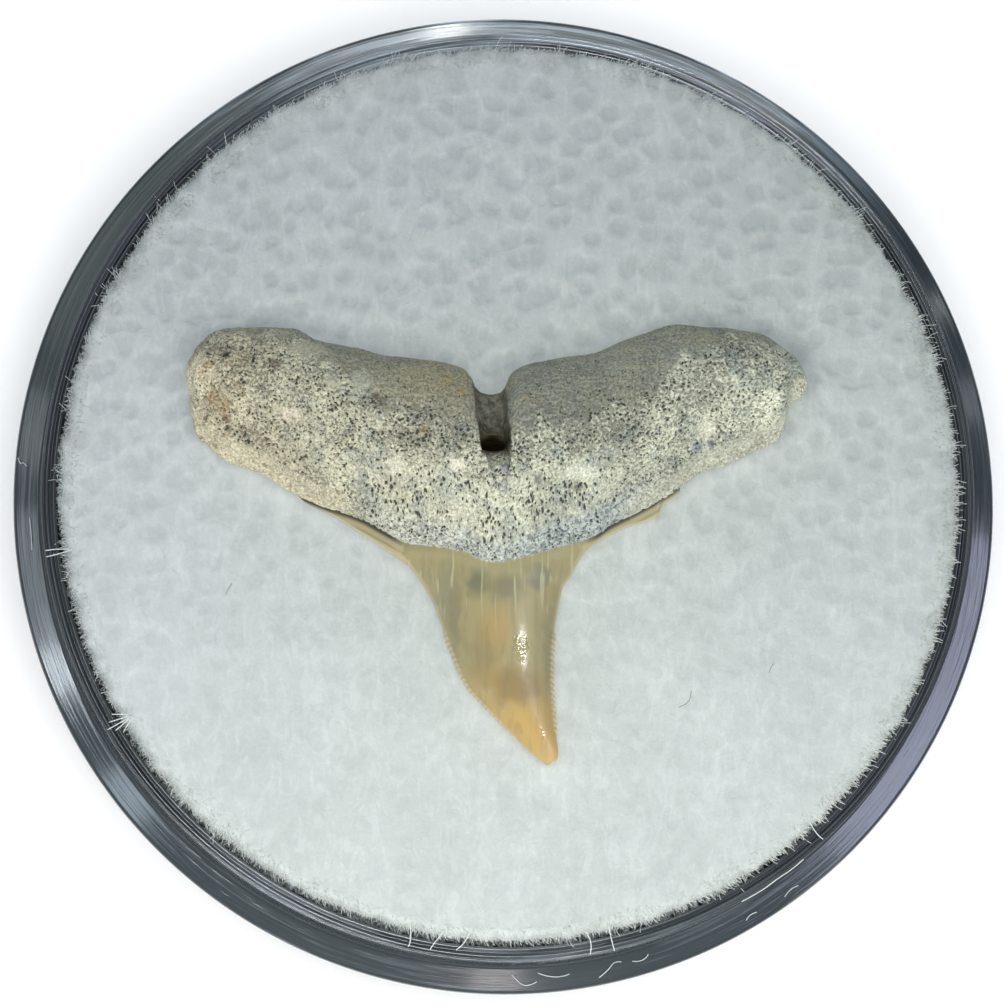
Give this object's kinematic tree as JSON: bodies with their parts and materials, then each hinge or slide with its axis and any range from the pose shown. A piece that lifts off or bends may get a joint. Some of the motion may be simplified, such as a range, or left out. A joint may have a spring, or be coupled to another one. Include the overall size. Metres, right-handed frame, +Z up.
{
  "type": "fossil lemon shark tooth in an open specimen jar",
  "caption": "Fossil shark tooth with a porous root and a glossy leaning crown, lying on a white fibre pad in the open lower half of a round dark display jar",
  "frame": {"origin": "the middle of the jar's flat underside, on the surface it stands on", "axes": "+Z up out of the jar's open mouth; the tooth's root runs along X and its crown points along -Y, with the tip leaning towards +X; the tooth lies on its flatter outer face, with the face that has the groove up"},
  "size_m": [0.0318, 0.0318, 0.0148],
  "materials": {
    "fossil_bone": "porous grey-cream bone on the root, glossy tan enamel on the crown",
    "white_fibre": "soft white polyester batting with a fuzzy edge",
    "smoked_plastic": "glossy dark smoke"
  },
  "bodies": {
    "root": {"shark_tooth": "fossil_bone", "fibre_pad": "white_fibre", "jar_cup": "smoked_plastic"}
  },
  "joints": []
}
